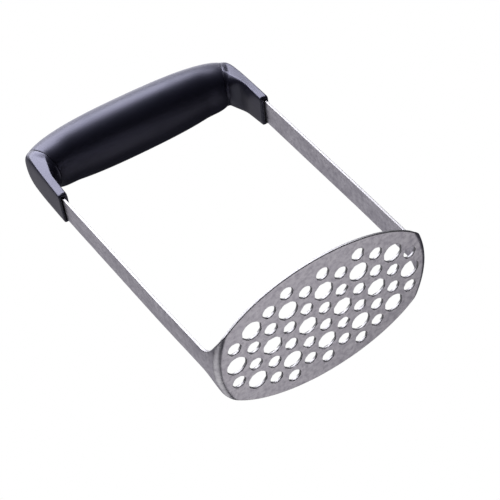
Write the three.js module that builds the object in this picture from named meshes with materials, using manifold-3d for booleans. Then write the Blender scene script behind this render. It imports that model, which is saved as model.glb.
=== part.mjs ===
// Potato masher with a horizontal handle, in millimetres, +Z up.
// A perforated oval plate lies on Z = 0. Its two ends are bent up into flat arms, whose hidden
// tangs enter the moulded shoulders at the ends of a barrel-shaped grip that runs along X.
import * as THREE from 'three';
import { mergeVertices } from 'three/addons/utils/BufferGeometryUtils.js';
import Module from 'manifold-3d';

// ---- Driving dimensions -------------------------------------------------------------------

const gap = 0.3; // clearance between pieces that touch or slide together

// Steel blade: one stamping made of the plate, two bends, two arms and two tangs
const sheet = 1.2; // thickness of the steel
const plateHalfLength = 56; // half axis along X of the ellipse that the plate's sides follow
const plateHalfWidth = 34.7; // half axis along Y of that ellipse
const sideEndX = 47.5; // past this X each side runs straight to the foot of the arm
const holePitch = 10; // distance between neighbouring holes
const smallHole = 6; // diameter
const largeHole = 9; // diameter
const holeColumns = [6, 5, 6, 5, 4, 3]; // holes in column 0, 1, 2 ... away from the middle
const bendRadius = 3; // outer radius of the bend from plate to arm
const armFootX = 52.8; // X of the arm's outer face, carried down to Z = 0
const armLean = Math.atan(0.0235); // the arms lean outward by this angle
const armHalfWidth = 6.5;
const armCornerZ = 7.2; // height where the lines of the plate's side and of the arm's edge cross
const flareReach = 5; // the two lines blend over this length on each side of their crossing
const creaseRadius = 42; // the crease between plate and arm is an arc, seen from above
const crownFade = 45; // length of arm over which the crown left by that arc flattens out
const tangTopZ = 156.5;
const tangCornerCut = 2.5;

// Grip: a long rounded barrel whose outline is a superellipse
const gripAxisZ = 159.5; // height of the grip's centre line
const gripHalfHeight = 13.6; // at the middle
const gripWidthRatio = 1.13; // width across Y against height along Z
const handleHalfLength = 57.5;
const barrelLengthPower = 2.5;
const barrelHeightPower = 3.5;
const swell = 1.3; // near the seams the barrel's underside swells by this much, to arch into the legs
const swellStartX = 35;
const swellFullSine = 0.9; // sine of the angle below the axis from which the swell is whole
const softThickness = 2.6; // of the soft grip over its core
const seamBottom = { x: 46, z: 147 }; // the seam is a sloping plane through these two points
const seamTop = { x: 55.6, z: 171 };

// Shoulders: each carries on from one end of the barrel, turns down and ends as a leg round the tang
const legEndZ = 126.3; // open end of the leg, where the arm goes in
const legInnerX = 52.6;
const legOuterX = 57.1;
const legEndHalfWidth = 8.4;
const cornerEndZ = 158; // the outer top corner is rounded down to this height
const filletEndZ = 138; // the hollow between the underside of the grip and the leg ends here
const seamRoundness = 2.1; // power of the superellipse at the seam, close to an ellipse
const legRoundness = 7; // power at the open end, close to a rectangle
const cornerDrop = 1; // the outer corner's curve turns down this far below the seam
const slotOverrun = 5; // the slot is cut this far past the open end of the leg

// Hidden core, spigots and fasteners
const coreBore = 4.5; // radius
const spigotRadius = coreBore - gap;
const spigotTipX = 36;
const screwZ = 152.5;
const screwHeadRadius = 2.25;
const screwHeadThickness = 2;
const screwShankRadius = 1.25;
const screwDriveRadius = 0.9;
const screwDriveDepth = 1.1;
const screwSeatX = 52.5;
const screwTipX = 56;
const pinRadius = 1.25;
const pinHalfLength = 8.4;
const pinX = 41;

// ---- Materials ----------------------------------------------------------------------------

const brushedSteel = () => new THREE.MeshStandardMaterial({ color: 0x9a98a0, roughness: 0.32, metalness: 1 });
const hardPlastic = () => new THREE.MeshStandardMaterial({ color: 0x1b1b24, roughness: 0.42, metalness: 0 });
const softPlastic = () => new THREE.MeshStandardMaterial({ color: 0x12121c, roughness: 0.55, metalness: 0 });
const corePlastic = () => new THREE.MeshStandardMaterial({ color: 0x2a2a30, roughness: 0.5, metalness: 0 });
const fastenerSteel = () => new THREE.MeshStandardMaterial({ color: 0xb8b8bc, roughness: 0.3, metalness: 1 });

// ---- Solids and placing -------------------------------------------------------------------

const library = await Module();
library.setup();

function toSolid(geometry) {
  const bare = geometry.clone();
  bare.deleteAttribute('normal');
  bare.deleteAttribute('uv');
  const merged = mergeVertices(bare, 1e-4);
  return new library.Manifold(new library.Mesh({
    numProp: 3,
    vertProperties: new Float32Array(merged.attributes.position.array),
    triVerts: new Uint32Array(merged.index.array),
  }));
}

function toGeometry(solid) {
  const mesh = solid.getMesh();
  const geometry = new THREE.BufferGeometry();
  geometry.setAttribute('position', new THREE.BufferAttribute(mesh.vertProperties, 3));
  geometry.setIndex(new THREE.BufferAttribute(mesh.triVerts, 1));
  geometry.computeVertexNormals();
  return geometry;
}

function smoothStep(value) {
  const share = Math.min(Math.max(value, 0), 1);
  return share ** 2 * (3 - 2 * share);
}

// A shape drawn in (x, z), spread evenly to both sides of Y = 0
function acrossY(shape, width) {
  const geometry = new THREE.ExtrudeGeometry(shape, { depth: width, bevelEnabled: false });
  geometry.rotateX(Math.PI / 2);
  return toSolid(geometry.translate(0, width / 2, 0));
}

// A solid of revolution about a line along X at height axisZ; points are (radius, x)
function turned(points, segments, axisZ, widthRatio = 1) {
  const geometry = new THREE.LatheGeometry(points, segments);
  geometry.rotateZ(-Math.PI / 2);
  geometry.scale(1, widthRatio, 1);
  return toSolid(geometry.translate(0, 0, axisZ));
}

function rodAlongX(radius, fromX, toX, axisZ, segments = 20) {
  const points = [[0, fromX], [radius, fromX], [radius, toX], [0, toX]];
  return turned(points.map((point) => new THREE.Vector2(...point)), segments, axisZ);
}

function polygon(points) {
  return new THREE.Shape(points.map((point) => new THREE.Vector2(...point)));
}

// Solid skin over closed sections that all have the same number of points
function loft(sections) {
  const count = sections[0].length;
  const positions = sections.flat().flatMap((point) => point.toArray());
  const index = [];
  for (let ring = 0; ring < sections.length - 1; ring += 1) {
    for (let side = 0; side < count; side += 1) {
      const here = ring * count + side;
      const next = ring * count + (side + 1) % count;
      index.push(here, here + count, next, next, here + count, next + count);
    }
  }
  const last = (sections.length - 1) * count;
  for (let side = 1; side < count - 1; side += 1) {
    index.push(0, side, side + 1, last, last + side + 1, last + side);
  }
  const geometry = new THREE.BufferGeometry();
  geometry.setAttribute('position', new THREE.Float32BufferAttribute(positions, 3));
  geometry.setIndex(index);
  return geometry;
}

const opposite = (solid) => solid.rotate([0, 0, 180]);

// ---- Steel blade --------------------------------------------------------------------------

const bendCentreX = armFootX - bendRadius;
const bendMiddleRadius = bendRadius - sheet / 2;
const bendAngle = Math.PI / 2 - armLean;
// Lengths run along the middle of the unfolded sheet from the plate's centre
const bendEndLength = bendCentreX + bendMiddleRadius * bendAngle;
const armCornerLength = bendEndLength + armCornerZ - bendRadius;
const flareEndLength = armCornerLength + flareReach;
const crownEndLength = armCornerLength + crownFade;
const bendEndZ = bendRadius * (1 - Math.cos(bendAngle));
const tangEndLength = bendEndLength + (tangTopZ - bendEndZ) / Math.cos(armLean);
const sideEndHalfWidth = plateHalfWidth * Math.sqrt(1 - (sideEndX / plateHalfLength) ** 2);
const sideSlope = (sideEndHalfWidth - armHalfWidth) / (armCornerLength - sideEndX);

// Half width of the unfolded blade: ellipse, straight side, blend and arm
function halfWidthAt(length) {
  if (length < sideEndX) return plateHalfWidth * Math.sqrt(1 - (length / plateHalfLength) ** 2);
  const blendLeft = Math.max(flareEndLength - length, 0);
  if (blendLeft < 2 * flareReach) return armHalfWidth + sideSlope * blendLeft ** 2 / (4 * flareReach);
  return armHalfWidth + sideSlope * (armCornerLength - length);
}

// How far the curved crease draws the sheet back at a distance y from the middle. A line is a row
// of points parallel to the crease, named by its length at y = 0.
function crownAt(line, y) {
  return y ** 2 / (2 * creaseRadius) * (1 - smoothStep((line - armCornerLength) / crownFade));
}

function halfWidthOn(line) {
  let halfWidth = armHalfWidth;
  for (let pass = 0; pass < 40; pass += 1) {
    halfWidth = halfWidthAt(line - crownAt(line, halfWidth));
  }
  return halfWidth;
}

// A point on a line of the sheet, offset from the middle of its thickness, after bending
function bentPoint(line, y, offset) {
  const flat = Math.min(line, bendCentreX);
  const angle = Math.min(Math.max(line - bendCentreX, 0) / bendMiddleRadius, bendAngle);
  const straight = Math.max(line - bendEndLength, 0);
  const radius = bendMiddleRadius - offset;
  const x = flat + radius * Math.sin(angle) + straight * Math.cos(angle) - crownAt(line, y);
  const z = bendRadius - radius * Math.cos(angle) + straight * Math.sin(angle);
  return new THREE.Vector3(x, y, z);
}

// Closed loop round the sheet: its underside from +Y to -Y and its upper side back again
function loopAcross(halfWidth, pointAt) {
  const steps = 12;
  const under = [];
  const upper = [];
  for (let step = 0; step <= steps; step += 1) {
    const y = halfWidth * (1 - 2 * step / steps);
    under.push(pointAt(y, -sheet / 2));
    upper.unshift(pointAt(y, sheet / 2));
  }
  return [...under, ...upper];
}

// Bend, arm and tang in one strip, which starts as a flat tongue within the plate
function sideStrip() {
  const spaced = (from, to, steps) => (
    Array.from({ length: steps }, (_, step) => from + (to - from) * step / steps)
  );
  const lines = [
    ...spaced(bendCentreX, bendEndLength, 8),
    ...spaced(bendEndLength, flareEndLength, 6),
    ...spaced(flareEndLength, crownEndLength, 8),
    crownEndLength,
    tangEndLength - tangCornerCut,
  ];
  const tongueX = plateHalfLength / 2;
  const tongue = loopAcross(halfWidthOn(bendCentreX), (y, offset) => (
    new THREE.Vector3(tongueX, y, sheet / 2 + offset)
  ));
  const sections = lines.map((line) => (
    loopAcross(halfWidthOn(line), (y, offset) => bentPoint(line, y, offset))
  ));
  const tip = loopAcross(armHalfWidth - tangCornerCut, (y, offset) => bentPoint(tangEndLength, y, offset));
  const screwHole = rodAlongX(screwShankRadius + gap, tongueX, 2 * armFootX, screwZ);
  return toSolid(loft([tongue, ...sections, tip])).subtract(screwHole);
}

// The oval between the two places where the creases meet its rim
function plateSides() {
  const creaseEndX = bendCentreX - crownAt(bendCentreX, halfWidthOn(bendCentreX));
  const endAngle = Math.acos(creaseEndX / plateHalfLength);
  const shape = new THREE.Shape();
  shape.absellipse(0, 0, plateHalfLength, plateHalfWidth, endAngle, Math.PI - endAngle, false, 0);
  shape.absellipse(
    0, 0, plateHalfLength, plateHalfWidth, Math.PI + endAngle, 2 * Math.PI - endAngle, false, 0,
  );
  return toSolid(new THREE.ExtrudeGeometry(shape, { depth: sheet, bevelEnabled: false, curveSegments: 24 }));
}

// Holes on a triangular grid. The middle row of an odd column and the rows one and a half pitches
// out in an even column have large holes.
function holeList() {
  const holes = [];
  const lastColumn = holeColumns.length - 1;
  for (let column = -lastColumn; column <= lastColumn; column += 1) {
    const count = holeColumns[Math.abs(column)];
    for (let row = 0; row < count; row += 1) {
      const step = row - (count - 1) / 2;
      const isLarge = step === 0 || Math.abs(step) === 1.5;
      holes.push({
        x: column * holePitch * Math.sin(Math.PI / 3),
        y: step * holePitch,
        radius: (isLarge ? largeHole : smallHole) / 2,
      });
    }
  }
  return holes;
}

function steelBlade() {
  const side = sideStrip();
  let blade = plateSides().add(side).add(opposite(side));
  for (const hole of holeList()) {
    const punch = new THREE.CylinderGeometry(hole.radius, hole.radius, 3 * sheet, 18);
    punch.rotateX(Math.PI / 2);
    blade = blade.subtract(toSolid(punch.translate(hole.x, hole.y, sheet / 2)));
  }
  return blade;
}

// ---- Handle -------------------------------------------------------------------------------

// Half height of the barrel; it closes to nothing at the ends of the handle
function barrelHalfHeightAt(x) {
  const along = (Math.abs(x) / handleHalfLength) ** barrelLengthPower;
  return gripHalfHeight * (1 - along) ** (1 / barrelHeightPower);
}

// Extra radius of the barrel at an angle from the level of its axis, given by its sine
function swellAt(x, sine) {
  const along = (Math.abs(x) - swellStartX) / (seamBottom.x - swellStartX);
  return swell * smoothStep(along) * smoothStep(-sine / swellFullSine);
}

// Points of the barrel's outline, closer together towards the ends where it curves most
function barrelProfile(halfLength, shrink, steps) {
  const points = [new THREE.Vector2(0, -halfLength)];
  for (let step = 0; step <= steps; step += 1) {
    const x = halfLength * Math.sin(Math.PI * (step / steps - 1 / 2));
    const radius = barrelHalfHeightAt(x) - shrink;
    if (radius > 0) points.push(new THREE.Vector2(radius, x));
  }
  points.push(new THREE.Vector2(0, halfLength));
  return points;
}

function seamXAt(z) {
  const rise = (z - seamBottom.z) / (seamTop.z - seamBottom.z);
  return seamBottom.x + (seamTop.x - seamBottom.x) * rise;
}

// Everything between the two sloping seams, less a clearance
function betweenSeams(clearance) {
  const lowZ = gripAxisZ - 2 * gripHalfHeight;
  const highZ = gripAxisZ + 2 * gripHalfHeight;
  const lowX = seamXAt(lowZ) - clearance;
  const highX = seamXAt(highZ) - clearance;
  return acrossY(polygon([[-lowX, lowZ], [lowX, lowZ], [highX, highZ], [-highX, highZ]]), 3 * gripHalfHeight);
}

const barrel = turned(barrelProfile(handleHalfLength, 0, 24), 28, gripAxisZ, gripWidthRatio).warp((point) => {
  const rise = point[2] - gripAxisZ;
  const radius = Math.hypot(point[1] / gripWidthRatio, rise);
  if (radius < gap) return;
  const growth = 1 + swellAt(point[0], rise / radius) / radius;
  point[1] *= growth;
  point[2] = gripAxisZ + rise * growth;
});

function softGrip() {
  const bore = turned(barrelProfile(seamTop.x, softThickness, 12), 24, gripAxisZ);
  return barrel.intersect(betweenSeams(gap / 2)).subtract(bore);
}

function pinRod(radius, halfLength) {
  const rod = new THREE.CylinderGeometry(radius, radius, 2 * halfLength, 16);
  return toSolid(rod.translate(pinX, 0, gripAxisZ));
}

function gripCore() {
  const outside = turned(barrelProfile(seamTop.x, softThickness + gap, 12), 24, gripAxisZ);
  const bore = rodAlongX(coreBore, -handleHalfLength, handleHalfLength, gripAxisZ, 24);
  const pinHole = pinRod(pinRadius + gap, gripHalfHeight);
  return outside.intersect(betweenSeams(gap / 2)).subtract(bore).subtract(pinHole).subtract(opposite(pinHole));
}

// Where the barrel's outline, above (side 1) or below (side -1) its axis, meets the seam
function seamPoint(side) {
  let x = seamBottom.x;
  let z = gripAxisZ;
  for (let pass = 0; pass < 40; pass += 1) {
    z = gripAxisZ + side * (barrelHalfHeightAt(x) + swellAt(x, side));
    x = (x + seamXAt(z)) / 2;
  }
  return new THREE.Vector2(x, z);
}

// A curve in (x, z) that leaves the seam, rounds a corner and then runs straight down the leg
function elbow(start, legX, cornerZ) {
  const turnEnd = new THREE.Vector2(legX, cornerZ);
  const path = new THREE.CurvePath();
  path.add(new THREE.QuadraticBezierCurve(start, new THREE.Vector2(legX, start.y - cornerDrop), turnEnd));
  path.add(new THREE.LineCurve(turnEnd, new THREE.Vector2(legX, legEndZ)));
  return path;
}

// Each section of a shoulder spans from the inner elbow to the outer elbow. It starts as the
// barrel's oval and ends as the leg's rounded rectangle.
function shoulderSkin(rings, sides) {
  const inner = elbow(seamPoint(-1), legInnerX, filletEndZ);
  const outer = elbow(seamPoint(1), legOuterX, cornerEndZ);
  const seamMiddleX = (seamPoint(-1).x + seamPoint(1).x) / 2;
  const seamHalfWidth = gripWidthRatio * barrelHalfHeightAt(seamMiddleX);
  const sections = [];
  for (let ring = 0; ring <= rings; ring += 1) {
    const along = ring / rings;
    const low = inner.getPointAt(along);
    const high = outer.getPointAt(along);
    const power = seamRoundness + (legRoundness - seamRoundness) * along;
    const halfWidth = seamHalfWidth + (legEndHalfWidth - seamHalfWidth) * along;
    const section = [];
    for (let side = 0; side < sides; side += 1) {
      const angle = 2 * Math.PI * side / sides;
      const reach = (Math.abs(Math.cos(angle)) ** power + Math.abs(Math.sin(angle)) ** power) ** (-1 / power);
      const across = (1 + reach * Math.cos(angle)) / 2;
      const point = low.clone().lerp(high, across);
      section.push(new THREE.Vector3(point.x, halfWidth * reach * Math.sin(angle), point.y));
    }
    sections.push(section);
  }
  return toSolid(loft(sections));
}

// Slot that holds the tang, a little larger than the arm all round
function tangSlot() {
  const outerAt = (z) => armFootX + z * Math.tan(armLean);
  const bottomZ = legEndZ - slotOverrun;
  const topZ = tangTopZ + gap;
  const thickness = sheet + gap;
  return acrossY(polygon([
    [outerAt(bottomZ) - thickness, bottomZ], [outerAt(bottomZ) + gap, bottomZ],
    [outerAt(topZ) + gap, topZ], [outerAt(topZ) - thickness, topZ],
  ]), 2 * (armHalfWidth + gap));
}

function shoulder() {
  const spigot = rodAlongX(spigotRadius, spigotTipX, (legInnerX + legOuterX) / 2, gripAxisZ, 24);
  const headWell = rodAlongX(screwHeadRadius + gap, seamBottom.x, screwSeatX + gap, screwZ);
  const screwHole = rodAlongX(screwShankRadius + gap, seamBottom.x, screwTipX + gap, screwZ, 16);
  return shoulderSkin(14, 32).subtract(betweenSeams(-gap / 2)).add(spigot).subtract(tangSlot())
    .subtract(headWell).subtract(screwHole).subtract(pinRod(pinRadius + gap, gripHalfHeight));
}

// ---- Fasteners ----------------------------------------------------------------------------

function tangScrew() {
  const head = rodAlongX(screwHeadRadius, screwSeatX - screwHeadThickness, screwSeatX, screwZ);
  const shank = rodAlongX(screwShankRadius, screwSeatX - screwHeadThickness / 2, screwTipX, screwZ, 16);
  const socketFloorX = screwSeatX - screwHeadThickness + screwDriveDepth;
  const socket = rodAlongX(screwDriveRadius, spigotTipX, socketFloorX, screwZ, 6);
  return head.add(shank).subtract(socket);
}

// ---- Assembly -----------------------------------------------------------------------------

const masher = new THREE.Group();

function addPart(name, solid, material) {
  const mesh = new THREE.Mesh(toGeometry(solid), material);
  mesh.name = name;
  masher.add(mesh);
}

addPart('steel_blade', steelBlade(), brushedSteel());
addPart('soft_grip', softGrip(), softPlastic());
addPart('grip_core', gripCore(), corePlastic());

const rightParts = [
  ['shoulder', shoulder(), hardPlastic],
  ['tang_screw', tangScrew(), fastenerSteel],
  ['spigot_pin', pinRod(pinRadius, pinHalfLength), fastenerSteel],
];
for (const [name, solid, material] of rightParts) {
  addPart(`right_${name}`, solid, material());
  addPart(`left_${name}`, opposite(solid), material());
}

export default masher;
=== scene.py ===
"""Looks of the potato masher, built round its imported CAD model.

A perforated steel blade, a soft barrel grip and two hard shoulders replace their plain CAD solids.
The hidden core, screws and pins keep theirs.
Lengths of the object are in millimetres here and become metres when a mesh is made.
"""

import math

import bpy
from mathutils import Matrix, Vector
from mathutils.geometry import delaunay_2d_cdt


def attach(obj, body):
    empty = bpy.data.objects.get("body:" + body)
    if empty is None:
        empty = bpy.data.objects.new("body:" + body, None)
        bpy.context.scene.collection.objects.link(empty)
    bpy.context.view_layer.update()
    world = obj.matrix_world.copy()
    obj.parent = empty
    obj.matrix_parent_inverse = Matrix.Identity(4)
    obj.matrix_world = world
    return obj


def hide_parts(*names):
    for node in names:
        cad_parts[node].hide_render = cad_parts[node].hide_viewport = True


MM = 0.001

# ---- Steel blade: the same driving sizes as the CAD blade, then how finely it is drawn ----
SHEET = 1.2
PLATE_HALF_LENGTH = 56.0  # of the ellipse that the plate's two long sides follow
PLATE_HALF_WIDTH = 34.7
SIDE_END = 47.5  # past this distance from the middle each side runs straight to the arm
HOLE_PITCH = 10.0
SMALL_HOLE = 6.0
LARGE_HOLE = 9.0
LARGE_PLACES = (0, 1.5)  # holes this many pitches from the middle of their column are large
HOLE_COLUMNS = (6, 5, 6, 5, 4, 3)  # holes in each column, from the middle one outward
BEND_RADIUS = 3.0  # outer
ARM_FOOT = 52.8  # x of the arm's outer face just above the bend
ARM_LEAN = math.atan(0.0235)
ARM_HALF_WIDTH = 6.5
ARM_CORNER_HEIGHT = 7.2  # where the plate's straight sides, carried on, would reach the arm's width
FLARE_REACH = 5.0  # length, before and after that corner, over which they curve into the arm
CREASE_RADIUS = 42.0  # the crease between plate and arm is an arc, seen from above
CROWN_FADE = 45.0  # length of arm over which the crown left by that arc flattens out
TANG_TOP = 156.5
TANG_CORNER_CUT = 2.5
ROLLED_EDGE = 0.32  # rounding on the side the punch entered, which is the underside
BURR_EDGE = 0.22  # rounding on the other side
EDGE_STEPS = 4  # for each of the two roundings
HOLE_SIDES = 48
BEND_STEPS = 14
FLARE_STEPS = 10
CROWN_STEPS = 14
RIM_STEPS = 44
ACROSS_STEPS = 14  # points across the sheet, for its crown
ACROSS_MARGIN = 1.5  # from the outermost of those points to the edge of the sheet

# ---- Handle ----
GAP = 0.3  # clearance round the tang in its slot
GRIP_AXIS = 159.5  # height of the barrel's axis
GRIP_HALF_HEIGHT = 13.6
GRIP_WIDTH_RATIO = 1.13  # how much wider than high the barrel is
HANDLE_HALF_LENGTH = 57.5  # x at which the barrel's outline would close
BARREL_LENGTH_POWER = 2.5  # powers of the superellipse that is the barrel's outline
BARREL_HEIGHT_POWER = 3.5
SWELL = 1.3  # near the seams the barrel's underside swells by this much, to arch into the legs
SWELL_START = 35.0
SWELL_FULL_SINE = 0.9  # sine of the angle below the axis from which the swell is whole
SOFT_THICKNESS = 2.6
SEAM_BOTTOM = (46.0, 147.0)  # (x, z) of two points on the sloping seam
SEAM_TOP = (55.6, 171.0)
LEG_END = 126.3  # height of the legs' open ends
LEG_INNER = 52.6  # x of a leg's inner and outer side
LEG_OUTER = 57.1
LEG_END_HALF_WIDTH = 8.4
CORNER_END = 158.0  # height at which the curve of the outer top corner ends
CORNER_START = (2.0, -0.67)  # (x, z) from the seam to the first control point of that curve
CORNER_RISE = 5.5  # height of its second control point above the curve's end
FILLET_END = 138.0  # the same three for the curve of the hollow below the barrel
FILLET_START = (2.2, 0.3)
FILLET_RISE = 7.0
SEAM_ROUNDNESS = 2.1  # power of the superellipse at the seam
LEG_ROUNDNESS = 7.0  # power at the open end of the leg
INNER_SQUARE_BY = 0.4  # share of the shoulder's length by which its inner side reaches that power
FACET_AT_SEAM = 0.945  # the flat front and back facets, as a share of the half width
FACET_AT_END = 0.985
FACET_RUN_IN = 0.11  # share of the shoulder's length over which the barrel's oval turns into it
SEAM_OPENING = 0.08  # half of the fine line that shows at the seam
SIDES = 128  # points round the sleeve
GRIP_RINGS = 96
SHOULDER_RINGS = 72
CURVED_SIDE_STEPS = 34  # points on the outer and on the inner side of a shoulder's section
FACET_STEPS = 12
CREASE_STEPS = 4
CREASE = 0.45  # how far from the edge of a facet its rounding starts
CREASE_SHARE = 0.4  # and the largest share of the facet's half length that it may take
SEAM_LIP = 0.18  # rounding of the edges at the seam
SLOT_SQUARENESS = 14.0  # power of the superellipse that makes the slot nearly a rectangle
SLOT_LEAD_IN = 0.15  # chamfer at the mouth of the slot
LEG_END_ROUNDING = 0.85
LIP_STEPS = 4
BORE_STEPS = 12

# ---- Numerical work ----
SOLVER_STEPS = 40  # repetitions that settle a half width or a meeting point
OVAL_SOLVER_STEPS = 20  # and those that settle a place on the barrel's oval
FOLD_SOLVER_STEPS = 3  # and those that settle the line on which a point of the sheet lies
CURVE_STEPS = 400  # fine steps from which evenly spaced points of a curve are taken
TURN_STEP = 0.002  # radians, in the search for the angle at which a crease's rounding starts
INSIDE_ONLY = 1  # the triangulation's output type that leaves out what lies outside the outline
MERGE_DISTANCE = 1e-5  # closer points than this are one point to the triangulation
SHARPEST_MITRE = 0.5  # smallest cosine by which a corner's inset is divided

# ---- Sizes that follow ----
HALF_SHEET = SHEET / 2
BEND_CENTRE = ARM_FOOT - BEND_RADIUS
BEND_ANGLE = math.pi / 2 - ARM_LEAN
BEND_END = BEND_CENTRE + (BEND_RADIUS - HALF_SHEET) * BEND_ANGLE
ARM_CORNER = BEND_END + ARM_CORNER_HEIGHT - BEND_RADIUS
FLARE_END = ARM_CORNER + FLARE_REACH
CROWN_END = ARM_CORNER + CROWN_FADE
SIDE_END_HALF_WIDTH = PLATE_HALF_WIDTH * math.sqrt(1 - (SIDE_END / PLATE_HALF_LENGTH) ** 2)
SIDE_SLOPE = (SIDE_END_HALF_WIDTH - ARM_HALF_WIDTH) / (ARM_CORNER - SIDE_END)
BEND_END_HEIGHT = BEND_RADIUS - BEND_RADIUS * math.cos(BEND_ANGLE)
TANG_END = BEND_END + (TANG_TOP - BEND_END_HEIGHT) / math.cos(ARM_LEAN)


# ---- Meshes ----


def make_object(name, points, faces, materials, uv=None, edge_faces=0):
    """A smooth-shaded mesh object from points in millimetres, with one (u, v) for each point if given.

    The first edge_faces faces take the second material.
    """
    mesh = bpy.data.meshes.new(name)
    mesh.from_pydata([Vector(point) * MM for point in points], [], faces)
    for material in materials:
        mesh.materials.append(material)
    for index in range(edge_faces):
        mesh.polygons[index].material_index = 1
    if uv is not None:
        layer = mesh.uv_layers.new(name="UVMap")
        for loop in mesh.loops:
            layer.data[loop.index].uv = uv[loop.vertex_index]
    mesh.validate()
    mesh.shade_smooth()
    obj = bpy.data.objects.new(name, mesh)
    bpy.context.collection.objects.link(obj)
    obj.modifiers.new("flat faces stay flat", "WEIGHTED_NORMAL")
    return obj


def band(first, second, count):
    """Quads between two closed rings of the same count, whose points start at first and second."""
    quads = []
    for side in range(count):
        after = (side + 1) % count
        quads.append((first + side, first + after, second + after, second + side))
    return quads


def loft(rings):
    """Points and faces of a closed body over rings of equal count, with a fan closing each end."""
    count = len(rings[0])
    points = [point for ring in rings for point in ring]
    faces = []
    for index in range(len(rings) - 1):
        faces += band(index * count, (index + 1) * count, count)
    for ring, flip in ((0, True), (len(rings) - 1, False)):
        centre = sum(rings[ring], Vector()) / count
        points.append(centre)
        hub = len(points) - 1
        for side in range(count):
            here = ring * count + side
            after = ring * count + (side + 1) % count
            faces.append((hub, after, here) if flip else (hub, here, after))
    return points, faces


def smooth_step(value):
    """0 up to 0 and 1 from 1, with a smooth rise between."""
    value = min(max(value, 0), 1)
    return value * value * (3 - 2 * value)


# ---- Steel blade ----


def hole_list():
    """(x, y, radius) of every hole in the plate."""
    holes = []
    for column in range(1 - len(HOLE_COLUMNS), len(HOLE_COLUMNS)):
        count = HOLE_COLUMNS[abs(column)]
        for row in range(count):
            step = row - (count - 1) / 2
            size = LARGE_HOLE if abs(step) in LARGE_PLACES else SMALL_HOLE
            holes.append((column * HOLE_PITCH * math.sin(math.pi / 3), step * HOLE_PITCH, size / 2))
    return holes


def half_width_at(length):
    """Half width of the unfolded blade: ellipse, straight side, blend and arm."""
    if length < SIDE_END:
        return PLATE_HALF_WIDTH * math.sqrt(1 - (length / PLATE_HALF_LENGTH) ** 2)
    blend_left = max(FLARE_END - length, 0)
    if blend_left < 2 * FLARE_REACH:
        return ARM_HALF_WIDTH + SIDE_SLOPE * blend_left**2 / (4 * FLARE_REACH)
    return ARM_HALF_WIDTH + SIDE_SLOPE * (ARM_CORNER - length)


def crown_at(line, across):
    """How far the curved crease draws the sheet back at a distance across from the middle.

    A line is a row of points parallel to the crease, named by its length in the middle.
    """
    fade = smooth_step((line - ARM_CORNER) / CROWN_FADE)
    return across**2 / (2 * CREASE_RADIUS) * (1 - fade)


def half_width_on(line):
    """Half width of the unfolded blade along a line parallel to the crease."""
    half_width = ARM_HALF_WIDTH
    for _ in range(SOLVER_STEPS):
        half_width = half_width_at(line - crown_at(line, half_width))
    return half_width


def spaced(start, end, count):
    """Evenly spaced values from start up to, but not including, end."""
    return [start + (end - start) * step / count for step in range(count)]


def bent_lines():
    """The lines along which the sheet gets rows of points: bend, flare and crowned part of the arm."""
    lines = spaced(BEND_CENTRE, BEND_END, BEND_STEPS)
    lines += spaced(BEND_END, FLARE_END, FLARE_STEPS)
    return lines + spaced(FLARE_END, CROWN_END, CROWN_STEPS) + [CROWN_END]


def quarter_outline():
    """The unfolded blade's outline as (length, half width), from the plate's middle to the tang's end."""
    points = []
    crease_end = BEND_CENTRE - crown_at(BEND_CENTRE, half_width_on(BEND_CENTRE))
    end_angle = math.acos(crease_end / PLATE_HALF_LENGTH)
    for step in range(RIM_STEPS):
        angle = math.pi / 2 + (end_angle - math.pi / 2) * step / RIM_STEPS
        points.append(Vector((PLATE_HALF_LENGTH * math.cos(angle), PLATE_HALF_WIDTH * math.sin(angle))))
    for line in bent_lines():
        half_width = half_width_on(line)
        points.append(Vector((line - crown_at(line, half_width), half_width)))
    points.append(Vector((TANG_END - TANG_CORNER_CUT, ARM_HALF_WIDTH)))
    points.append(Vector((TANG_END, ARM_HALF_WIDTH - TANG_CORNER_CUT)))
    return points


def whole_outline():
    """The outline anticlockwise, and the rows that cross it as (index, points within, index)."""
    quarter = quarter_outline()
    lower_right = [Vector((p.x, -p.y)) for p in quarter]
    upper_right = [Vector((p.x, p.y)) for p in reversed(quarter)]
    upper_left = [Vector((-p.x, p.y)) for p in quarter[1:]]
    lower_left = [Vector((-p.x, -p.y)) for p in reversed(quarter[1:])]
    loop = lower_right + upper_right + upper_left + lower_left
    count = len(quarter)
    rows = []
    for step, line in enumerate(bent_lines()):
        index = RIM_STEPS + step
        reach = half_width_on(line) - ACROSS_MARGIN
        right = []
        for place in range(ACROSS_STEPS + 1):
            across = reach * (2 * place / ACROSS_STEPS - 1)
            right.append(Vector((line - crown_at(line, across), across)))
        left = [-point for point in right]
        rows.append((index, right, 2 * count - 1 - index))
        rows.append((2 * count - 1 + index, left, len(loop) - index))
    return loop, rows


def inset_loop(loop, inset):
    """An anticlockwise loop moved inward by inset, with mitred corners."""
    moved = []
    for index, point in enumerate(loop):
        before = (point - loop[index - 1]).normalized()
        after = (loop[(index + 1) % len(loop)] - point).normalized()
        inward = Vector((-before.y - after.y, before.x + after.x)).normalized()
        across = Vector((-after.y, after.x))
        moved.append(point + inward * (inset / max(inward.dot(across), SHARPEST_MITRE)))
    return moved


def edge_profile():
    """(inset, offset from the middle of the sheet) round a cut edge, from the underside to the top."""
    profile = []
    for radius, side in ((ROLLED_EDGE, -1), (BURR_EDGE, 1)):
        arc = []
        for step in range(EDGE_STEPS + 1):
            angle = math.pi / 2 * step / EDGE_STEPS
            inset = radius * (1 - math.sin(angle))
            offset = side * (HALF_SHEET - radius * (1 - math.cos(angle)))
            arc.append((inset, offset))
        profile += arc if side < 0 else arc[::-1]
    return profile


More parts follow.
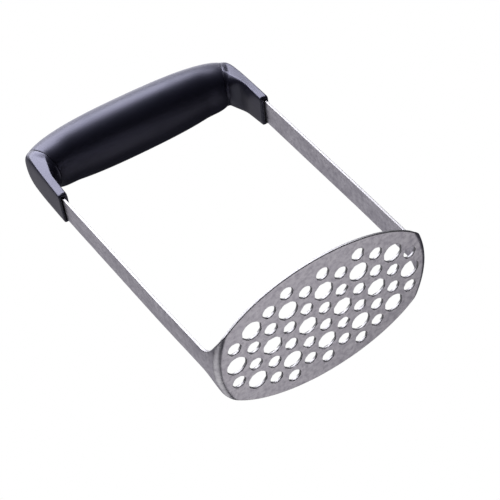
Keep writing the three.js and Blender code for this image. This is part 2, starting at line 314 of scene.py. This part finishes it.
def fold(length, across, offset):
    """A point of the unfolded blade, offset from the middle of the sheet, where the bent blade has it."""
    side = math.copysign(1, length)
    line = abs(length)
    for _ in range(FOLD_SOLVER_STEPS):
        line = abs(length) + crown_at(line, across)
    flat = min(line, BEND_CENTRE)
    angle = min(max(line - BEND_CENTRE, 0) / (BEND_RADIUS - HALF_SHEET), BEND_ANGLE)
    rest = max(line - BEND_END, 0)
    radius = BEND_RADIUS - HALF_SHEET - offset
    x = flat + radius * math.sin(angle) + rest * math.cos(angle) - crown_at(line, across)
    z = BEND_RADIUS - radius * math.cos(angle) + rest * math.sin(angle)
    return Vector((side * x, across, z))


def blade_face(loops, rows, holes):
    """Triangles that fill the loops except for the holes, through all the rows of points within.

    They are indices into the loops' points followed by the rows' points.
    """
    points = [point for loop in loops for point in loop]
    edges = []
    start = 0
    for loop in loops:
        edges += [(start + index, start + (index + 1) % len(loop)) for index in range(len(loop))]
        start += len(loop)
    for first, within, last in rows:
        chain = [first] + list(range(len(points), len(points) + len(within))) + [last]
        edges += list(zip(chain, chain[1:]))
        points += within
    result = delaunay_2d_cdt(points, edges, [], INSIDE_ONLY, MERGE_DISTANCE)
    spots, triangles, origins = result[0], result[2], result[3]
    kept = []
    for triangle in triangles:
        centre = sum((spots[index] for index in triangle), Vector((0, 0))) / 3
        if any((centre - Vector((x, y))).length < radius for x, y, radius in holes):
            continue
        kept.append([origins[index][0] for index in triangle])
    return kept


def steel_blade(face_steel, edge_steel):
    """The perforated plate, its two bends, arms and tangs, as one folded sheet with rounded cut edges."""
    outline, rows = whole_outline()
    holes = hole_list()
    profile = edge_profile()
    points, uv, faces, rings = [], [], [], []

    def place(point, offset):
        points.append(fold(point.x, point.y, offset))
        # The offset keeps the cut edges from shrinking to lines in the UV map.
        uv.append((point.x + offset, point.y + offset))

    for inset, offset in profile:
        loops = [inset_loop(outline, inset)]
        for x, y, radius in holes:
            ring = []
            for side in range(HOLE_SIDES):
                angle = -2 * math.pi * side / HOLE_SIDES
                outward = Vector((math.cos(angle), math.sin(angle)))
                ring.append(Vector((x, y)) + (radius + inset) * outward)
            loops.append(ring)
        rings.append(loops)
        for loop in loops:
            for point in loop:
                place(point, offset)
    per_level = len(points) // len(rings)
    for level in range(len(rings) - 1):
        start = level * per_level
        for loop in rings[level]:
            faces += band(start, start + per_level, len(loop))
            start += len(loop)
    edge_faces = len(faces)
    triangles = blade_face(rings[0], rows, holes)
    for level, flip in ((0, True), (len(rings) - 1, False)):
        loop_shift = level * per_level
        row_shift = len(points) - per_level
        for _, within, _ in rows:
            for point in within:
                place(point, profile[level][1])
        for triangle in triangles:
            face = [index + (loop_shift if index < per_level else row_shift) for index in triangle]
            faces.append(face[::-1] if flip else face)
    return make_object("blade", points, faces, [face_steel, edge_steel], uv, edge_faces)


# ---- Handle ----


def barrel_half_height(x):
    """The barrel's half height at x, without the swell of its underside."""
    along = min(abs(x) / HANDLE_HALF_LENGTH, 1) ** BARREL_LENGTH_POWER
    return GRIP_HALF_HEIGHT * (1 - along) ** (1 / BARREL_HEIGHT_POWER)


def barrel_radius(x, sine):
    """The barrel's radius, before it is widened, at the sine of an angle above the level of its axis."""
    along = (abs(x) - SWELL_START) / (SEAM_BOTTOM[0] - SWELL_START)
    return barrel_half_height(x) + SWELL * smooth_step(along) * smooth_step(-sine / SWELL_FULL_SINE)


def barrel_half_width(x, z):
    """The barrel's half width at x and the height z."""
    sine = 0.0
    for _ in range(OVAL_SOLVER_STEPS):
        sine = min(max((z - GRIP_AXIS) / barrel_radius(x, sine), -1), 1)
    return GRIP_WIDTH_RATIO * barrel_radius(x, sine) * math.sqrt(1 - sine**2)


def seam_x(z):
    """X of the right-hand seam at the height z."""
    rise = (z - SEAM_BOTTOM[1]) / (SEAM_TOP[1] - SEAM_BOTTOM[1])
    return SEAM_BOTTOM[0] + (SEAM_TOP[0] - SEAM_BOTTOM[0]) * rise


def seam_meeting(sine, clearance):
    """X where the barrel's surface line at that sine meets the right-hand seam."""
    x = SEAM_BOTTOM[0]
    for _ in range(SOLVER_STEPS):
        x = (x + seam_x(GRIP_AXIS + sine * barrel_radius(x, sine)) + clearance) / 2
    return x


def barrel_point(x, angle):
    """The point of the barrel's surface at x and at an angle above the level of its axis."""
    radius = barrel_radius(x, math.sin(angle))
    return Vector((x, GRIP_WIDTH_RATIO * radius * math.cos(angle), GRIP_AXIS + radius * math.sin(angle)))


def lip(edge, along, inward, radius):
    """Points that round an edge over, from the skin that runs along to the face that runs inward."""
    rounded = []
    for step in range(LIP_STEPS + 1):
        angle = math.pi / 2 * step / LIP_STEPS
        on_skin = along * radius * (1 - math.sin(angle))
        on_face = inward * radius * (1 - math.cos(angle))
        rounded.append(edge + on_skin + on_face)
    return rounded


def mirrored(point):
    return Vector((-point.x, point.y, point.z))


def grip_meridian(angle):
    """One line of the sleeve from the bore's left end over the outside to the bore's right end."""
    end = seam_meeting(math.sin(angle), -SEAM_OPENING)
    outside = []
    for step in range(GRIP_RINGS + 1):
        x = end * math.sin(math.pi / 2 * (2 * step / GRIP_RINGS - 1))
        outside.append(barrel_point(x, angle))
    right_edge = outside[-1]
    tangent = (outside[-3] - right_edge).normalized()
    middle = Vector((seam_x(GRIP_AXIS) - SEAM_OPENING, 0, GRIP_AXIS))
    inward = (middle - right_edge).normalized()
    right_lip = lip(right_edge, tangent, inward, SEAM_LIP)
    bore_radius = barrel_half_height(end) - SOFT_THICKNESS
    bore_z = bore_radius * math.sin(angle)
    bore_end = seam_x(GRIP_AXIS + bore_z) - SEAM_OPENING
    bore = Vector((bore_end, bore_radius * math.cos(angle), GRIP_AXIS + bore_z))
    left_lip = [mirrored(point) for point in reversed(right_lip)]
    # The lips take the place of the two outermost points at each end.
    return [mirrored(bore)] + left_lip + outside[2:-2] + right_lip + [bore]


def soft_grip(material):
    """The sleeve between the two sloping seams, with rounded lips and an open bore for the core."""
    meridians = []
    for side in range(SIDES):
        angle = 2 * math.pi * side / SIDES
        line = grip_meridian(angle)
        right, left = line[-1], line[0]
        for step in range(1, BORE_STEPS):
            x = right.x + (left.x - right.x) * step / BORE_STEPS
            radius = barrel_half_height(x) - SOFT_THICKNESS
            line.append(Vector((x, radius * math.cos(angle), GRIP_AXIS + radius * math.sin(angle))))
        meridians.append(line)
    count = len(meridians[0])
    points = [line[index] for index in range(count) for line in meridians]
    faces = []
    for index in range(count):
        faces += band(((index + 1) % count) * SIDES, index * SIDES, SIDES)
    return make_object("grip_sleeve", points, faces, [material])


def curve_points(start, first, second, turn_end, end, count):
    """Evenly spaced (x, z) points on a cubic curve followed by a straight line.

    The curve runs from start to turn_end with first and second as its control points.
    """
    raw = []
    for step in range(CURVE_STEPS + 1):
        t = step / CURVE_STEPS
        a = start.lerp(first, t)
        b = first.lerp(second, t)
        c = second.lerp(turn_end, t)
        raw.append(a.lerp(b, t).lerp(b.lerp(c, t), t))
    raw += [turn_end.lerp(end, step / CURVE_STEPS) for step in range(1, CURVE_STEPS + 1)]
    lengths = [0.0]
    for before, after in zip(raw, raw[1:]):
        lengths.append(lengths[-1] + (after - before).length)
    even = []
    index = 0
    for step in range(count + 1):
        wanted = lengths[-1] * step / count
        while index < len(raw) - 2 and lengths[index + 1] < wanted:
            index += 1
        share = (wanted - lengths[index]) / (lengths[index + 1] - lengths[index])
        even.append(raw[index].lerp(raw[index + 1], share))
    return even


def seam_corner(side):
    """(x, z) where the barrel's top or bottom line meets the shoulder's side of the seam.

    The side is 1 for the top and -1 for the bottom.
    """
    x = seam_meeting(side, SEAM_OPENING)
    return Vector((x, GRIP_AXIS + side * barrel_radius(x, side)))


def superellipse(angle, power):
    """The point of a superellipse of half width 1 in the direction of angle."""
    size = (abs(math.cos(angle)) ** power + abs(math.sin(angle)) ** power) ** (-1 / power)
    return Vector((size * math.cos(angle), size * math.sin(angle)))


def quarter_section(power, facet, half_length, half_width):
    """A quarter of a shoulder's section in millimetres, from its side to the middle of its facet.

    The section is a superellipse cut by a flat facet, with a small rounding between the two.
    """

    def curved(angle):
        point = superellipse(angle, power)
        return Vector((point.x * half_length, point.y * half_width))

    edge = Vector(((1 - facet**power) ** (1 / power), facet))
    corner = Vector((edge.x * half_length, edge.y * half_width))
    crease = min(CREASE, CREASE_SHARE * edge.x * half_length)
    turn_angle = math.atan2(edge.y, edge.x)
    while (curved(turn_angle) - corner).length < crease:
        turn_angle -= TURN_STEP
    steps = CURVED_SIDE_STEPS // 2
    points = [curved(turn_angle * step / steps) for step in range(steps)]
    start = curved(turn_angle)
    end = corner - Vector((crease, 0))
    for step in range(CREASE_STEPS + 1):
        share = step / CREASE_STEPS
        points.append(start.lerp(corner, share).lerp(corner.lerp(end, share), share))
    steps = FACET_STEPS // 2
    points += [end.lerp(Vector((0, end.y)), step / steps) for step in range(1, steps + 1)]
    return points


def whole_section(outer_power, inner_power, facet, half_length, half_width):
    """The closed section, anticlockwise from the middle of its outer side."""
    outer = quarter_section(outer_power, facet, half_length, half_width)
    inner = quarter_section(inner_power, facet, half_length, half_width)
    upper = outer + [Vector((-p.x, p.y)) for p in reversed(inner[:-1])]
    lower = [Vector((p.x, -p.y)) for p in reversed(upper[1:-1])]
    return upper + lower


def shoulder_rings():
    """The outside of the right-hand shoulder, ring by ring from the seam to the open end of the leg."""
    low_start, high_start = seam_corner(-1), seam_corner(1)
    inner = curve_points(
        low_start,
        low_start + Vector(FILLET_START),
        Vector((LEG_INNER, FILLET_END + FILLET_RISE)),
        Vector((LEG_INNER, FILLET_END)),
        Vector((LEG_INNER, LEG_END)),
        SHOULDER_RINGS,
    )
    outer = curve_points(
        high_start,
        high_start + Vector(CORNER_START),
        Vector((LEG_OUTER, CORNER_END + CORNER_RISE)),
        Vector((LEG_OUTER, CORNER_END)),
        Vector((LEG_OUTER, LEG_END)),
        SHOULDER_RINGS,
    )
    seam_half_width = GRIP_WIDTH_RATIO * barrel_half_height((low_start.x + high_start.x) / 2)
    squaring = LEG_ROUNDNESS - SEAM_ROUNDNESS
    rings = []
    for index, (low, high) in enumerate(zip(inner, outer)):
        along = index / SHOULDER_RINGS
        half_width = seam_half_width + (LEG_END_HALF_WIDTH - seam_half_width) * along
        half_length = (high - low).length / 2
        outer_power = SEAM_ROUNDNESS + squaring * along
        inner_power = SEAM_ROUNDNESS + squaring * smooth_step(along / INNER_SQUARE_BY)
        facet = FACET_AT_SEAM + (FACET_AT_END - FACET_AT_SEAM) * along
        from_barrel = 1 - smooth_step(along / FACET_RUN_IN)
        ring = []
        for point in whole_section(outer_power, inner_power, facet, half_length, half_width):
            across = (point.x / half_length + 1) / 2
            spot = low.lerp(high, across)
            start = low_start.lerp(high_start, across)
            barrel_y = math.copysign(barrel_half_width(start.x, start.y), point.y)
            y = point.y + (barrel_y - point.y) * from_barrel
            ring.append(Vector((spot.x, y, spot.y)))
        rings.append(ring)
    return rings


def centre_of(ring):
    return sum(ring, Vector()) / len(ring)


def slot_ring(z, clearance, angles):
    """Nearly a rectangle, round the tang at height z, with points at the angles of the leg's section."""
    outer_x = ARM_FOOT + z * math.tan(ARM_LEAN)
    half_x = HALF_SHEET + clearance
    half_y = ARM_HALF_WIDTH + clearance
    ring = []
    for angle in angles:
        point = superellipse(angle, SLOT_SQUARENESS)
        ring.append(Vector((outer_x - HALF_SHEET + half_x * point.x, half_y * point.y, z)))
    return ring


def shoulder(name, material, turn):
    """One shoulder, closed at the seam and open round the tang, turned about Z by turn."""
    rings = shoulder_rings()
    first, second = rings[0], rings[1]
    middle = centre_of(first)
    seam_lips = []
    for edge, after in zip(first, second):
        seam_lips.append(lip(edge, (after - edge).normalized(), (middle - edge).normalized(), SEAM_LIP))
    body = [[points[step] for points in seam_lips] for step in range(LIP_STEPS, -1, -1)]
    body += [ring for ring in rings[1:-1] if ring[0].z > LEG_END + LEG_END_ROUNDING]
    last = rings[-1]
    middle = centre_of(last)
    up = Vector((0, 0, 1))
    end_lips = [lip(edge, up, (middle - edge).normalized(), LEG_END_ROUNDING) for edge in last]
    body += [[points[step] for points in end_lips] for step in range(LIP_STEPS + 1)]
    half_length = (LEG_OUTER - LEG_INNER) / 2
    angles = [math.atan2(p.y / LEG_END_HALF_WIDTH, (p.x - middle.x) / half_length) for p in last]
    for z in (LEG_END, LEG_END + SLOT_LEAD_IN, TANG_TOP + GAP):
        body.append(slot_ring(z, GAP if z > LEG_END else GAP + SLOT_LEAD_IN, angles))
    points, faces = loft(body)
    rotation = Matrix.Rotation(turn, 3, "Z")
    return make_object(name, [rotation @ point for point in points], faces, [material])


# ---- Materials: the blade's UV map is in millimetres, and object coordinates are in metres ----

STEEL_DARK = (0.62, 0.605, 0.64)
STEEL_LIGHT = (0.84, 0.82, 0.85)
STEEL_CLOUD = (0.42, 0.40, 0.45)
STEEL_SPECK = (0.25, 0.23, 0.24)
STEEL_SCRATCH = (0.85, 0.84, 0.85)
EDGE_DARK = (0.24, 0.235, 0.24)
EDGE_LIGHT = (0.36, 0.355, 0.36)
SCREW_DARK = (0.5, 0.5, 0.52)
SCREW_LIGHT = (0.66, 0.66, 0.68)
PLASTIC_SPECULAR = 0.64
PLASTIC_SPECULAR_TINT = (0.76, 0.76, 1.0)
NOISE_ROUGHNESS = 0.6
CENTRE_OF_NOISE = (0.3, 0.7)  # most of a noise's values lie between these two
FINE_RELIEF = 0.00004  # metres
COARSE_RELIEF = 0.00008


def node(tree, kind, inputs=(), **settings):
    """A new shader node, with settings as attributes and inputs as a dict of values or sockets."""
    made = tree.nodes.new(kind)
    for key, value in settings.items():
        setattr(made, key, value)
    for key, value in dict(inputs).items():
        if isinstance(value, bpy.types.NodeSocket):
            tree.links.new(value, made.inputs[key])
        else:
            made.inputs[key].default_value = value
    return made


def start_material(name):
    material = bpy.data.materials.new(name)
    material.use_nodes = True
    tree = material.node_tree
    return material, tree, tree.nodes["Principled BSDF"]


def noise(tree, vector, scale, detail, stretch=(1, 1, 1)):
    """A cloudy value between 0 and 1, with scale and stretch as clouds per unit of the vector."""
    mapping = node(tree, "ShaderNodeMapping", {"Vector": vector, "Scale": stretch})
    texture = node(tree, "ShaderNodeTexNoise", {
        "Vector": mapping.outputs["Vector"],
        "Scale": scale,
        "Detail": detail,
        "Roughness": NOISE_ROUGHNESS,
    })
    return texture.outputs["Fac"]


def spread(tree, value, given, wanted):
    """The value with the range given turned into the range wanted."""
    made = node(tree, "ShaderNodeMapRange", {
        "Value": value,
        "From Min": given[0],
        "From Max": given[1],
        "To Min": wanted[0],
        "To Max": wanted[1],
    })
    return made.outputs["Result"]


def mix_colour(tree, share, first, second):
    """The first colour where share is 0, the second where it is 1."""
    made = node(tree, "ShaderNodeMix", data_type="RGBA")
    tree.links.new(share, made.inputs["Factor"])
    for key, value in (("A", first), ("B", second)):
        socket = [s for s in made.inputs if s.name == key and s.type == "RGBA"][0]
        if isinstance(value, bpy.types.NodeSocket):
            tree.links.new(value, socket)
        else:
            socket.default_value = (*value, 1)
    return [s for s in made.outputs if s.type == "RGBA"][0]


def bump(tree, height, strength, distance, before=None):
    """The surface's normal with a relief, on top of the relief before it if that is given."""
    made = node(tree, "ShaderNodeBump", {"Height": height, "Strength": strength, "Distance": distance})
    if before is not None:
        tree.links.new(before, made.inputs["Normal"])
    return made.outputs["Normal"]


def brushed_steel(name):
    """Stainless sheet with a fine grain along the blade, smudges, dull specks and a few scratches."""
    material, tree, shader = start_material(name)
    surface = node(tree, "ShaderNodeTexCoord").outputs["UV"]
    grain = noise(tree, surface, scale=1.0, detail=4, stretch=(0.5, 6.0, 1))
    smudge = noise(tree, surface, scale=0.12, detail=6)
    cloud = noise(tree, surface, scale=0.45, detail=4)
    speck = noise(tree, surface, scale=1.3, detail=1)
    scratch = noise(tree, surface, scale=1.0, detail=1, stretch=(0.05, 2.6, 1))
    tone = mix_colour(tree, spread(tree, smudge, (0.35, 0.65), (0, 1)), STEEL_DARK, STEEL_LIGHT)
    uneven = mix_colour(tree, spread(tree, cloud, (0.42, 0.70), (0, 0.75)), tone, STEEL_CLOUD)
    specked = mix_colour(tree, spread(tree, speck, (0.68, 0.78), (0, 0.8)), uneven, STEEL_SPECK)
    colour = mix_colour(tree, spread(tree, scratch, (0.66, 0.76), (0, 0.5)), specked, STEEL_SCRATCH)
    tree.links.new(colour, shader.inputs["Base Color"])
    shader.inputs["Metallic"].default_value = 1
    tree.links.new(spread(tree, smudge, CENTRE_OF_NOISE, (0.28, 0.42)), shader.inputs["Roughness"])
    lines = bump(tree, grain, strength=0.25, distance=FINE_RELIEF)
    dents = bump(tree, cloud, strength=0.25, distance=COARSE_RELIEF, before=lines)
    tree.links.new(dents, shader.inputs["Normal"])
    return material


def cut_edge(name):
    """The sheared edges of the sheet and of its holes, duller and rougher than its faces."""
    material, tree, shader = start_material(name)
    surface = node(tree, "ShaderNodeTexCoord").outputs["UV"]
    tear = noise(tree, surface, scale=2.4, detail=4)
    tree.links.new(mix_colour(tree, tear, EDGE_DARK, EDGE_LIGHT), shader.inputs["Base Color"])
    shader.inputs["Metallic"].default_value = 1
    tree.links.new(spread(tree, tear, CENTRE_OF_NOISE, (0.42, 0.58)), shader.inputs["Roughness"])
    tree.links.new(bump(tree, tear, strength=0.3, distance=FINE_RELIEF), shader.inputs["Normal"])
    return material


def moulded_plastic(name, dark, light, roughness, pore_size, pore_strength):
    """Black plastic with a fine moulded texture, a pore_size in millimetres, and an uneven sheen."""
    material, tree, shader = start_material(name)
    place = node(tree, "ShaderNodeTexCoord").outputs["Object"]
    clouds = noise(tree, place, scale=60, detail=3)
    pores = noise(tree, place, scale=1 / (pore_size * MM), detail=2)
    shader.inputs["Specular IOR Level"].default_value = PLASTIC_SPECULAR
    shader.inputs["Specular Tint"].default_value = (*PLASTIC_SPECULAR_TINT, 1)
    tree.links.new(mix_colour(tree, clouds, dark, light), shader.inputs["Base Color"])
    tree.links.new(spread(tree, clouds, CENTRE_OF_NOISE, roughness), shader.inputs["Roughness"])
    relief = bump(tree, pores, strength=pore_strength, distance=COARSE_RELIEF)
    tree.links.new(relief, shader.inputs["Normal"])
    return material


def plain_steel(name):
    """Turned steel of the hidden screws and pins."""
    material, tree, shader = start_material(name)
    place = node(tree, "ShaderNodeTexCoord").outputs["Object"]
    rings = noise(tree, place, scale=900, detail=2, stretch=(6, 1, 1))
    tree.links.new(mix_colour(tree, rings, SCREW_DARK, SCREW_LIGHT), shader.inputs["Base Color"])
    shader.inputs["Metallic"].default_value = 1
    tree.links.new(spread(tree, rings, CENTRE_OF_NOISE, (0.25, 0.4)), shader.inputs["Roughness"])
    return material


# ---- Studio ----

CAMERA_PLACE = Vector((-0.19090, -0.39320, -0.29880))
CAMERA_AIM = Vector((0.00365, 0.01482, 0.06462))
CAMERA_UP = Vector((0.44044, -0.70505, 0.55579))
CAMERA_LENS = 93.06
CAMERA_SENSOR = 36  # millimetres, as is the lens
CAMERA_REACH = (0.01, 50)  # nearest and farthest distance that it sees, in metres
OBJECT_MIDDLE = Vector((0, 0, 0.085))
LAMP_UP = Vector((0.2, 0.1, 1))  # sets how each panel is turned about its direction
ROOM_COLOUR = (0.80, 0.80, 1.0)  # of the dim light from all round
ROOM_STRENGTH = 0.05
WHITE = (1, 1, 1)
FLOOR_COLOUR = (0.42, 0.42, 0.42)
FLOOR_INNER = 0.12  # metres from the middle to where the floor starts to thin out
FLOOR_OUTER = 0.45  # and to where it is gone
FLOOR_HALF_WIDTH = 3000  # millimetres, well past where it is gone
FLOOR_DROP = 0.4  # millimetres below the plate, so that the two faces don't coincide


def look(place, aim, up):
    """The matrix of a camera or lamp at place that looks at aim."""
    forward = (aim - place).normalized()
    right = forward.cross(up).normalized()
    true_up = right.cross(forward)
    matrix = Matrix((right, true_up, -forward)).transposed().to_4x4()
    matrix.translation = place
    return matrix


def make_camera():
    data = bpy.data.cameras.new("camera")
    data.lens = CAMERA_LENS
    data.sensor_width = CAMERA_SENSOR
    data.clip_start, data.clip_end = CAMERA_REACH
    camera = bpy.data.objects.new("camera", data)
    camera.matrix_world = look(CAMERA_PLACE, CAMERA_AIM, CAMERA_UP)
    bpy.context.collection.objects.link(camera)
    bpy.context.scene.camera = camera


def panel(name, direction, distance, width, height, radiance, colour=WHITE):
    """A soft rectangular light, in metres, that faces the object from a direction."""
    data = bpy.data.lights.new(name, "AREA")
    data.shape = "RECTANGLE"
    data.size = width
    data.size_y = height
    data.energy = radiance * math.pi * width * height
    data.color = colour
    lamp = bpy.data.objects.new(name, data)
    place = OBJECT_MIDDLE + Vector(direction).normalized() * distance
    lamp.matrix_world = look(place, OBJECT_MIDDLE, LAMP_UP)
    lamp.visible_camera = False
    bpy.context.collection.objects.link(lamp)


def make_world():
    """White to the camera, and dim to everything else."""
    world = bpy.data.worlds.new("studio")
    bpy.context.scene.world = world
    world.use_nodes = True
    tree = world.node_tree
    tree.nodes.clear()
    rays = node(tree, "ShaderNodeLightPath")
    room = node(tree, "ShaderNodeBackground", {"Color": (*ROOM_COLOUR, 1), "Strength": ROOM_STRENGTH})
    backdrop = node(tree, "ShaderNodeBackground", {"Color": (*WHITE, 1), "Strength": 1})
    both = node(tree, "ShaderNodeMixShader")
    tree.links.new(rays.outputs["Is Camera Ray"], both.inputs[0])
    tree.links.new(room.outputs[0], both.inputs[1])
    tree.links.new(backdrop.outputs[0], both.inputs[2])
    output = node(tree, "ShaderNodeOutputWorld")
    tree.links.new(both.outputs[0], output.inputs["Surface"])


def make_floor():
    """A pale floor round the object, seen from above only, that thins out into the white backdrop."""
    material = bpy.data.materials.new("floor_paper")
    material.use_nodes = True
    tree = material.node_tree
    tree.nodes.clear()
    rays = node(tree, "ShaderNodeLightPath")
    side = node(tree, "ShaderNodeNewGeometry")
    place = node(tree, "ShaderNodeTexCoord").outputs["Object"]
    distance = node(tree, "ShaderNodeVectorMath", {0: place}, operation="LENGTH")
    near = spread(tree, distance.outputs["Value"], (FLOOR_INNER, FLOOR_OUTER), (1, 0))
    front = node(
        tree, "ShaderNodeMath", {0: near, 1: side.outputs["Backfacing"]},
        operation="SUBTRACT", use_clamp=True,
    )
    seen = node(
        tree, "ShaderNodeMath", {0: rays.outputs["Is Camera Ray"], 1: front.outputs[0]},
        operation="MULTIPLY",
    )
    clear = node(tree, "ShaderNodeBsdfTransparent")
    paper = node(tree, "ShaderNodeBsdfDiffuse", {"Color": (*FLOOR_COLOUR, 1)})
    both = node(tree, "ShaderNodeMixShader")
    tree.links.new(seen.outputs[0], both.inputs[0])
    tree.links.new(clear.outputs[0], both.inputs[1])
    tree.links.new(paper.outputs[0], both.inputs[2])
    output = node(tree, "ShaderNodeOutputMaterial")
    tree.links.new(both.outputs[0], output.inputs["Surface"])
    signs = ((-1, -1), (1, -1), (1, 1), (-1, 1))
    corners = [(x * FLOOR_HALF_WIDTH, y * FLOOR_HALF_WIDTH, -FLOOR_DROP) for x, y in signs]
    floor = make_object("floor", corners, [(0, 1, 2, 3)], [material])


# ---- Scene ----

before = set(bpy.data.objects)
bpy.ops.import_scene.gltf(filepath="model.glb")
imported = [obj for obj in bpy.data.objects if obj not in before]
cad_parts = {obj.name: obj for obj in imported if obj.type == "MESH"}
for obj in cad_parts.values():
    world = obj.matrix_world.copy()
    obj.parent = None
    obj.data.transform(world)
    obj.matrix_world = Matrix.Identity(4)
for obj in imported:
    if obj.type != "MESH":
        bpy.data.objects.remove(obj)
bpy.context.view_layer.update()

make_camera()
make_world()
make_floor()
panel(
    "key", direction=(-0.10, -0.60, 0.72), distance=0.9,
    width=1.5, height=0.64, radiance=9.2, colour=(0.93, 0.93, 1.0),
)
panel(
    "overhead", direction=(0.20, 0.05, 0.97), distance=1.0,
    width=1.4, height=0.7, radiance=2.2, colour=(0.93, 0.93, 1.0),
)
panel(
    "under", direction=(0.257, 0.540, -0.801), distance=0.468,
    width=0.36, height=0.26, radiance=0.66, colour=(1.0, 0.97, 1.0),
)
panel("low_side", direction=(-0.66, 0.72, -0.22), distance=0.9, width=1.0, height=0.9, radiance=0.60)
panel(
    "side", direction=(-0.335, 0.703, 0.627), distance=0.9,
    width=0.7, height=0.7, radiance=0.35, colour=(0.97, 0.94, 1.0),
)

steel = brushed_steel("blade_steel")
soft = moulded_plastic(
    "soft_black", dark=(0.006, 0.006, 0.012), light=(0.010, 0.010, 0.020),
    roughness=(0.38, 0.47), pore_size=0.30, pore_strength=0.12,
)
hard = moulded_plastic(
    "hard_black", dark=(0.007, 0.007, 0.012), light=(0.012, 0.012, 0.021),
    roughness=(0.30, 0.38), pore_size=0.35, pore_strength=0.06,
)
core = moulded_plastic(
    "core_plastic", dark=(0.02, 0.02, 0.022), light=(0.03, 0.03, 0.034),
    roughness=(0.4, 0.5), pore_size=0.5, pore_strength=0.05,
)
screw_steel = plain_steel("fastener_steel")

new_pieces = [
    (steel_blade(steel, cut_edge("sheared_edge")), "steel_blade", "blade_steel"),
    (soft_grip(soft), "soft_grip", "soft_black"),
    (shoulder("right_shoulder_shell", hard, 0), "right_shoulder", "hard_black"),
    (shoulder("left_shoulder_shell", hard, math.pi), "left_shoulder", "hard_black"),
]
for piece, cad_node, slot in new_pieces:
    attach(piece, "root")
    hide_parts(cad_node)

hidden = [("grip_core", core)]
for side in ("right", "left"):
    hidden += [(f"{side}_tang_screw", screw_steel), (f"{side}_spigot_pin", screw_steel)]
for name, material in hidden:
    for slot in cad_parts[name].material_slots:
        slot.material = material

bpy.context.scene.view_settings.view_transform = "Standard"
